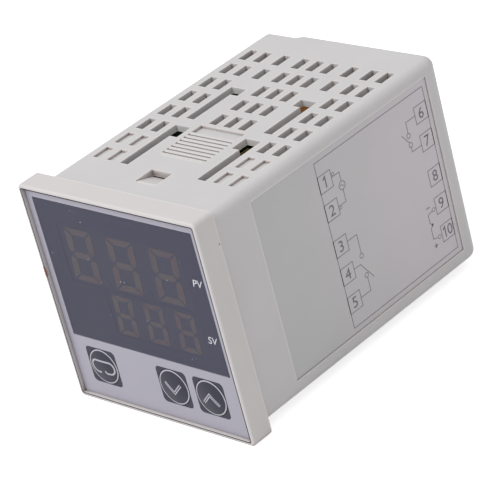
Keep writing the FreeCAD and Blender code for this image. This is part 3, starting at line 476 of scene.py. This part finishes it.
def stain(material, centre, radius, colour, strength):
    """Small stain: its colour is mixed in near a point, where the distance from the point and
    a noise of half the radius together are under the radius."""
    surface = next(node for node in material.node_tree.nodes if node.type == "BSDF_PRINCIPLED")
    clean = surface.inputs["Base Color"].links[0].from_socket
    place = add(material, "TexCoord").outputs["Object"]
    away = add(material, "VectorMath", {0: place, 1: np.array(centre) * MM},
               operation="DISTANCE")
    ragged = add(material, "TexNoise", {"Vector": place, "Scale": 1 / (radius * MM)})
    reach = add(material, "Math", {0: ragged.outputs["Fac"], 1: radius * MM * 0.8,
                                   2: away.outputs["Value"]}, operation="MULTIPLY_ADD")
    near = add(material, "MapRange", {
        "Value": reach.outputs[0], "From Min": radius * MM * 1.4, "From Max": radius * MM,
        "To Min": 0.0, "To Max": strength})
    marked = add(material, "Mix", {0: near.outputs[0], 6: clean, 7: linear(colour)},
                 data_type="RGBA")
    material.node_tree.links.new(marked.outputs[2], surface.inputs["Base Color"])


# a rub of brown on the left front edge and a speck of orange on the right side
bezel_front, bezel_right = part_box("bezel")[0][1] / MM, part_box("bezel")[1][0] / MM
for height in (3.9, 4.6, 5.3):
    stain(bezel_abs, (0.5 - bezel_right, bezel_front, height), 0.6, "#A0583C", 0.85)
stain(bezel_abs, (bezel_right, -0.35, 17.5), 0.3, "#B87838", 0.8)


# ---------------------------------------------------------------- front film
# A polycarbonate sheet is stuck into the bezel. It is printed from behind: silver round the
# edge, slate squares at the keys, and a clear smoked window in front of the displays.
def satin_film(name, colour, roughness, metallic, gloss=0.5, alpha=1.0, pitting=0.1):
    """Textured polycarbonate printed from behind: a fine even satin over flat ink. gloss is
    the share of the full mirror reflection that the matt hard coat leaves, 0.5 being all."""
    material, output, place = start_material(name)
    satin = add(material, "TexNoise", {"Vector": place, "Scale": 1 / (0.12 * MM), "Detail": 2.0})
    pits = add(material, "Bump", {"Height": satin.outputs["Fac"], "Strength": pitting,
                                  "Distance": 0.01 * MM})
    slow = add(material, "TexNoise", {"Vector": place, "Scale": 1 / (14 * MM), "Detail": 1.0})
    lift = add(material, "MapRange", {"Value": slow.outputs["Fac"], "To Min": 0.97,
                                      "To Max": 1.03})
    shade = add(material, "HueSaturation", {"Color": linear(colour), "Value": lift.outputs[0]})
    surface = add(material, "BsdfPrincipled", {
        "Base Color": shade.outputs[0], "Roughness": roughness, "Metallic": metallic,
        "Normal": pits.outputs["Normal"], "IOR": 1.585, "Specular IOR Level": gloss,
        "Alpha": alpha})
    material.node_tree.links.new(surface.outputs[0], output.inputs["Surface"])
    return material


def rounded_box(centre, width, height, radius, steps=8):
    """Rectangle with round corners: four quarter circles whose ends the straight sides join."""
    corners = []
    for turn, (right, up) in enumerate(((1, 1), (-1, 1), (-1, -1), (1, -1))):
        middle = (centre[0] + right * (width / 2 - radius), centre[1] + up * (height / 2 - radius))
        corners.append(circle(middle, radius, steps, 90.0 * turn, 90.0))
    return np.concatenate(corners)


def cut_sheet(outlines):
    """Flat mesh between an outer outline and the holes in it, filled as one flat curve."""
    curve = bpy.data.curves.new("sheet", "CURVE")
    curve.dimensions = "2D"
    curve.fill_mode = "BOTH"
    for line in outlines:
        spline = curve.splines.new("POLY")
        spline.points.add(len(line) - 1)
        spots = np.zeros((len(line), 4))
        spots[:, :2] = line
        spots[:, 3] = 1.0
        spline.points.foreach_set("co", spots.ravel())
        spline.use_cyclic_u = True
    holder = bpy.data.objects.new("sheet", curve)
    mesh = bpy.data.meshes.new_from_object(holder)
    spots = np.empty(len(mesh.vertices) * 3)
    mesh.vertices.foreach_get("co", spots)
    faces = [list(face.vertices) for face in mesh.polygons]
    bpy.data.objects.remove(holder)
    return spots.reshape(-1, 3)[:, :2], faces


film_low, film_high = [np.array(corner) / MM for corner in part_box("front_film")]
film_thickness = film_high[1] - film_low[1]
film_face = -film_low[1]
film_width = film_high[0] - film_low[0]
WINDOW = (-21.5, 21.5, -9.6, 21.35)
SQUARE = 8.15
window_line = rounded_box(((WINDOW[0] + WINDOW[1]) / 2, (WINDOW[2] + WINDOW[3]) / 2),
                          WINDOW[1] - WINDOW[0], WINDOW[3] - WINDOW[2], 0.15, 4)
key_spots = {}
for key in ("mode", "down", "up"):
    low, high = [np.array(corner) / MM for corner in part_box(key + "_key")]
    key_spots[key] = ((low[0] + high[0]) / 2, (low[2] + high[2]) / 2, (high[0] - low[0]) / 2)
KEY_GAP = 0.12
FILM_GAP = 0.1
WINDOW_THICKNESS = 0.18
MASK_THICKNESS = 0.05
MASK_LAP = 0.25
squares = {key: rounded_box((x, z), SQUARE, SQUARE, 1.0) for key, (x, z, _) in key_spots.items()}
outer_line = rounded_box((0, 0), film_width, film_width, 0.3, 4)

silver_ink = satin_film("silver_printed_film", "#ADABB7", 0.42, 0.1, 0.3)
# painted shadow of the gap round the film, drawn on the bezel's rim below
painted_gap_shadow = satin_film("rim_gap_painted_shadow", "#1C1C20", 0.6, 0.0, 0.15)
slate_ink = satin_film("slate_printed_film", "#343443", 0.36, 0.0, 0.15)
# the window's smoked front passes a third of the light, so the displays show faintly, and the
# faces behind it are clear
smoked_window = satin_film("smoked_window_film", "#505064", 0.36, 0.0, 0.2, 0.64, 0.01)
clear_underside = satin_film("clear_polycarbonate", "#FFFFFF", 0.4, 0.0, 0.0, 0.0, 0.01)

silver = lay_print(
    "film_silver", [cut_sheet([outer_line, window_line] + list(squares.values()))], FRONT,
    film_face - film_thickness, silver_ink, "case", film_thickness)
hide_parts("front_film")
corners = [cut_sheet([squares[key], circle((x, z), radius + KEY_GAP, 64)])
           for key, (x, z, radius) in key_spots.items()]
lay_print("film_key_squares", corners, FRONT, film_face - film_thickness, slate_ink, "case",
          film_thickness)
window = lay_print("film_window", [cut_sheet([window_line])], FRONT,
                   film_face - WINDOW_THICKNESS, smoked_window, "case",
                   WINDOW_THICKNESS)
window.data.materials.append(clear_underside)
for face in window.data.polygons:
    face.material_index = int(face.normal.y > -0.5)
# behind the smoked window a slate mask leaves only the two display modules clear
openings = []
for module in ("pv_display", "sv_display"):
    low, high = [np.array(corner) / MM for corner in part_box(module)]
    openings.append(box_line(low[0] + MASK_LAP, high[0] - MASK_LAP, low[2] + MASK_LAP,
                             high[2] - MASK_LAP))
lay_print("film_mask", [cut_sheet([window_line] + openings)], FRONT, film_face - film_thickness,
          satin_film("mask_ink", "#505064", 0.6, 0.0, 0.1, 1.0, 0.01), "case",
          MASK_THICKNESS)
legend_ink = printing_ink("legend_ink", "#E4E4EA")
legends = [letters("PV", 1.55, (19.65, 10.35), 10.0), letters("SV", 1.55, (19.45, -1.95), 10.0)]
lay_print("film_legends", legends, FRONT, film_face, legend_ink, "case",
          THIN_INK)
# a few flecks of white dust lie on the window, clear of its edges
FLECKS = 16
FLECK_MARGIN = 1
chance = np.random.default_rng(7)
flecks = [cut_sheet([circle((x, z), size, 7)]) for x, z, size in zip(
    chance.uniform(WINDOW[0] + FLECK_MARGIN, WINDOW[1] - FLECK_MARGIN, FLECKS),
    chance.uniform(WINDOW[2] + FLECK_MARGIN, WINDOW[3] - FLECK_MARGIN, FLECKS),
    chance.uniform(0.05, 0.1, FLECKS))]
lay_print("window_dust", flecks, FRONT, film_face, legend_ink, "case", THIN_INK)
# painted shadow: the dark gap between the film's edge and the bezel's rim, which the rim hides from
# above, is drawn as a black line on the rim
RIM_LINE = 0.22
line_width = film_width + 2 * FILM_GAP + RIM_LINE
rim_line = rounded_box((0, 0), line_width, line_width, 0.35, 4)
lay_print("rim_line", [stroke(rim_line, RIM_LINE, True)], FRONT, -bezel_front - THIN_INK,
          painted_gap_shadow, "case", INK_THICKNESS)


# ---------------------------------------------------------------- keys
# Each key is a slate-printed dome of the film's polycarbonate on a stem that meets its push
# switch. A fine ring and an outline symbol are printed on it in pale grey.
def turned(name, profile, centre, steps, material, body):
    """Surface swept round an axis along Y: a profile point's first number is its distance
    from the axis and its second its place along Y. The profile starts and ends on the axis."""
    radius, along = np.asarray(profile, float).T
    angle = np.linspace(0, 2 * np.pi, steps, endpoint=False)
    rings = np.stack([centre[0] + np.outer(radius[1:-1], np.cos(angle)),
                      np.repeat(along[1:-1, None], steps, axis=1),
                      centre[1] + np.outer(radius[1:-1], np.sin(angle))], axis=2)
    ends = [[centre[0], along[0], centre[1]], [centre[0], along[-1], centre[1]]]
    step = np.arange(steps)
    after = (step + 1) % steps
    starts = np.arange(len(radius) - 3) * steps
    quads = [np.stack([start + step, start + after, start + steps + after,
                       start + steps + step], axis=1) for start in starts]
    last_ring = (len(radius) - 3) * steps
    tip = last_ring + steps
    caps = [np.stack([np.full(steps, tip), after, step], axis=1),
            np.stack([np.full(steps, tip + 1), last_ring + step, last_ring + after], axis=1)]
    faces = np.concatenate(quads).tolist() + np.concatenate(caps).tolist()
    spots = np.concatenate([rings.reshape(-1, 3), ends])
    return place_mesh(name, spots, faces, material, body, smooth=True)


def fine_line(points, step=0.25):
    """Line with extra points on its straight runs, so that no run is longer than the step."""
    spots = [points[0]]
    for start, end in zip(points[:-1], points[1:]):
        pieces = max(1, math.ceil(math.dist(start, end) / step))
        spots += [np.array(start) + (np.array(end) - start) * share
                  for share in np.linspace(0, 1, pieces + 1)[1:]]
    return np.array(spots)


RING_RADIUS = 3.72
SYMBOL_LINE = 0.22
KEY_DISC = 0.7
STEM = 1.4
key_ink = printing_ink("key_symbol_ink", "#BDBBC4")

# cycle symbol: an oval loop, open below, whose right end turns up into a short hook
half, rise = 1.7, 1.35
left_end = circle((-half, 0), rise, 16, 270, -180)
right_end = circle((half, 0), rise, 16, 90, -180)
cycle = np.concatenate([[(-0.9, -rise)], left_end, right_end, [(0.75, -rise), (0.25, -rise + 0.5)]])
# direction symbols: two nested chevrons
chevrons = [np.array([(-2.2, 0.75), (0, -1.5), (2.2, 0.75)]),
            np.array([(-1.9, 1.05), (0, -0.9), (1.9, 1.05)])]
symbols = {"mode": [stroke(fine_line(cycle), SYMBOL_LINE * 1.7)],
           "down": [stroke(fine_line(line), SYMBOL_LINE) for line in chevrons],
           "up": [stroke(fine_line(-line - (0, 0.4)), SYMBOL_LINE) for line in chevrons]}

for key, (x, z, radius) in key_spots.items():
    low, high = [np.array(corner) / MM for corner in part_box(key + "_key")]
    crown = -film_face - low[1]
    share = np.linspace(0, 1, 12)
    dome = np.stack([radius * share, -film_face - crown * (1 - share ** 2)], axis=1)
    stem = [(radius, KEY_DISC - film_face), (STEM, KEY_DISC - film_face), (STEM, high[1]),
            (0, high[1])]
    cap = turned(key + "_dome", np.concatenate([dome, stem]), (x, z), 64, slate_ink,
                 key + "_press")
    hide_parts(key + "_key")

    def on_dome(flat, x=x, z=z, radius=radius, crown=crown):
        """Distance of the dome's surface from the origin plane, at flat points."""
        share = ((flat - (x, z)) ** 2).sum(axis=1) / radius ** 2
        return film_face + crown * (1 - np.clip(share, 0, 1))

    prints = [(flat + (x, z), faces) for flat, faces in symbols[key]]
    prints.append(stroke(circle((x, z), RING_RADIUS, 64), SYMBOL_LINE * 1.2, True))
    lay_print(key + "_symbol", prints, FRONT, on_dome, key_ink, key + "_press")

for part in ("key_switches", "mode_button", "down_button", "up_button"):
    finish_node(part, relay_black)


# ---------------------------------------------------------------- rear terminals
# Two black five-way strips of glass-filled polyester stand in the rear windows. Each cell
# has a stamped brass contact, a zinc-plated clamp and a combination-head screw.
def plated_metal(name, colour, roughness, grain):
    """Bright plating over stamped metal: metallic, with the fine lines of its rolling."""
    material, output, place = start_material(name)
    stretch = add(material, "Mapping", {"Vector": place, "Scale": (1.0, 1.0, 12.0)})
    lines = add(material, "TexNoise", {"Vector": stretch.outputs[0], "Scale": 1 / grain,
                                       "Detail": 3.0})
    spread = add(material, "MapRange", {"Value": lines.outputs["Fac"],
                                        "To Min": roughness - 0.08, "To Max": roughness + 0.12})
    relief = add(material, "Bump", {"Height": lines.outputs["Fac"], "Strength": 0.15,
                                    "Distance": 0.01 * MM})
    surface = add(material, "BsdfPrincipled", {
        "Base Color": linear(colour), "Metallic": 1.0, "Roughness": spread.outputs[0],
        "Normal": relief.outputs["Normal"]})
    material.node_tree.links.new(surface.outputs[0], output.inputs["Surface"])
    return material


terminal_black = moulded_plastic("terminal_polyester", "#26262A", "#2E2E32", 0.5, 0.18 * MM,
                                 0.015 * MM)
for strip in ("terminal_strip_right", "terminal_strip_left"):
    finish_node(strip, terminal_black)
finish_node("terminal_contacts", plated_metal("stamped_brass", "#C9A860", 0.3, 0.8 * MM))
zinc = plated_metal("zinc_plate", "#C4C3BC", 0.28, 0.6 * MM)
finish_node("clamp_plates", zinc)


def drive_half(side):
    """Half of a screw's top beside its slot: an arc, then the slot's edge with a notch in it
    for the cross recess."""
    head, slot, cross = 2.42, 0.38, 1.45
    lean = math.degrees(math.asin(slot / head))
    arc = circle((0, 0), head, 24, lean, 180 - 2 * lean)
    notch = [(-slot, slot), (-slot, cross), (slot, cross), (slot, slot)]
    return np.concatenate([arc, notch]) * side


def soften(piece, width):
    """Rolled edge of a turned or pressed piece."""
    bevel = piece.modifiers.new("rolled_edge", "BEVEL")
    bevel.width = width * MM
    bevel.segments = 3
    bevel.limit_method = "ANGLE"
    bevel.angle_limit = math.radians(40)


screw_low, screw_high = [np.array(corner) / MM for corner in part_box("terminal_screws")]
HEAD = 2.6
SHANK = 1.45
HEAD_HEIGHT = 2.0
DRIVE_DEPTH = 0.85
screw_x = screw_high[0] - HEAD
screw_rows = np.linspace(screw_low[2] + HEAD, screw_high[2] - HEAD, 5)
heads, drives, shanks = [], [], []
for column, sign in enumerate((1, -1)):
    for row, z in enumerate(screw_rows):
        spot = np.array([-sign * screw_x, z])
        # each screw stopped at its own angle when it was tightened
        angle = math.radians(67.0 * (row + 5 * column) + 20)
        spin = np.array([[math.cos(angle), math.sin(angle)], [-math.sin(angle), math.cos(angle)]])
        heads.append(cut_sheet([circle(spot, HEAD, 48)]))
        shanks.append(cut_sheet([circle(spot, SHANK, 24)]))
        drives += [cut_sheet([drive_half(side) @ spin + spot]) for side in (1, -1)]
head_level = screw_high[1] - HEAD_HEIGHT
solid_height = HEAD_HEIGHT - DRIVE_DEPTH
screws = lay_print("screw_heads", heads, REAR, head_level, zinc, "case",
                   solid_height)
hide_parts("terminal_screws")
lay_print("screw_shanks", shanks, REAR, screw_low[1], zinc, "case",
          head_level - screw_low[1])
tops = lay_print("screw_drives", drives, REAR, head_level + solid_height, zinc, "case",
                 DRIVE_DEPTH)
soften(tops, 0.22)

# plain numbers beside the cells: 1 to 5 down the left, seen from behind, 6 to 10 on the right
rear_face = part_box("case_shell")[1][1] / MM
rear_numbers = []
for column, (place, first) in enumerate(((-6.3, 1), (6.3, 6))):
    for row, z in enumerate(screw_rows[::-1]):
        rear_numbers += numeral(first + row, 2.2, (place, z))
rear_ink = printing_ink("rear_ink", "#77757B")
lay_print("rear_numbers", rear_numbers, REAR, rear_face, rear_ink, "case",
          THIN_INK)


# ---------------------------------------------------------------- studio
# The object lies on a plain pale floor in a soft white studio: one large lamp in front and
# above, and pale surroundings that fill the shadows.
scene = bpy.context.scene
floor_level = cad_bounds[0][2]


def seen_rays(material):
    """1 for the rays that see the surroundings: camera, glossy and transmitted ones."""
    path = add(material, "LightPath")
    both = add(material, "Math", {0: path.outputs["Is Camera Ray"],
                                  1: path.outputs["Is Glossy Ray"]}, operation="MAXIMUM")
    return add(material, "Math", {0: both.outputs[0], 1: path.outputs["Is Transmission Ray"]},
               operation="MAXIMUM").outputs[0]


FLOOR_HALF = 4.0
floor_mesh = bpy.data.meshes.new("floor")
floor_corners = [(right * FLOOR_HALF, back * FLOOR_HALF, floor_level)
                 for right, back in ((-1, -1), (1, -1), (1, 1), (-1, 1))]
floor_mesh.from_pydata(floor_corners, [], [(0, 1, 2, 3)])
floor = bpy.data.objects.new("floor", floor_mesh)
scene.collection.objects.link(floor)
paper, paper_output, _ = start_material("white_paper")
matt = add(paper, "BsdfDiffuse", {"Color": linear("#DCDCDC")})
glow = add(paper, "Emission", {"Color": (1, 1, 1, 1), "Strength": 0.75})
lit = add(paper, "AddShader", {0: matt.outputs[0], 1: glow.outputs[0]})
shown = add(paper, "MixShader", {0: seen_rays(paper), 1: matt.outputs[0], 2: lit.outputs[0]})
paper.node_tree.links.new(shown.outputs[0], paper_output.inputs["Surface"])
floor_mesh.materials.append(paper)

world = bpy.data.worlds.new("studio")
world.use_nodes = True
world.node_tree.nodes.clear()
scene.world = world
world_output = add(world, "OutputWorld")
fill = add(world, "Background", {"Color": linear("#FBF9FB"), "Strength": 0.63})
white = add(world, "Background", {"Color": (1, 1, 1, 1), "Strength": 1.0})
around = add(world, "MixShader", {0: seen_rays(world), 1: fill.outputs[0], 2: white.outputs[0]})
world.node_tree.links.new(around.outputs[0], world_output.inputs["Surface"])


def softbox(name, place, size, power):
    """Square lamp that faces the object."""
    lamp = bpy.data.lights.new(name, "AREA")
    lamp.size = size
    lamp.energy = power
    holder = bpy.data.objects.new(name, lamp)
    holder.matrix_world = (Matrix.Translation(place)
                           @ Vector(place).to_track_quat("Z", "Y").to_matrix().to_4x4())
    scene.collection.objects.link(holder)


softbox("front_lamp", (-0.25, -0.75, 0.95), 0.7, 7.0)

lens = bpy.data.cameras.new("camera")
lens.lens = 192.7
camera = bpy.data.objects.new("camera", lens)
across = Vector((0.71686, 0.65837, -0.22946))
upward = Vector((-0.17008, 0.48431, 0.85821))
away = Vector((0.67615, -0.57619, 0.45916))
camera.matrix_world = (Matrix.Translation((0.353833, -0.27481, 0.236534))
                       @ Matrix((across, upward, away)).transposed().to_4x4())
scene.collection.objects.link(camera)
scene.camera = camera
scene.view_settings.view_transform = "Standard"
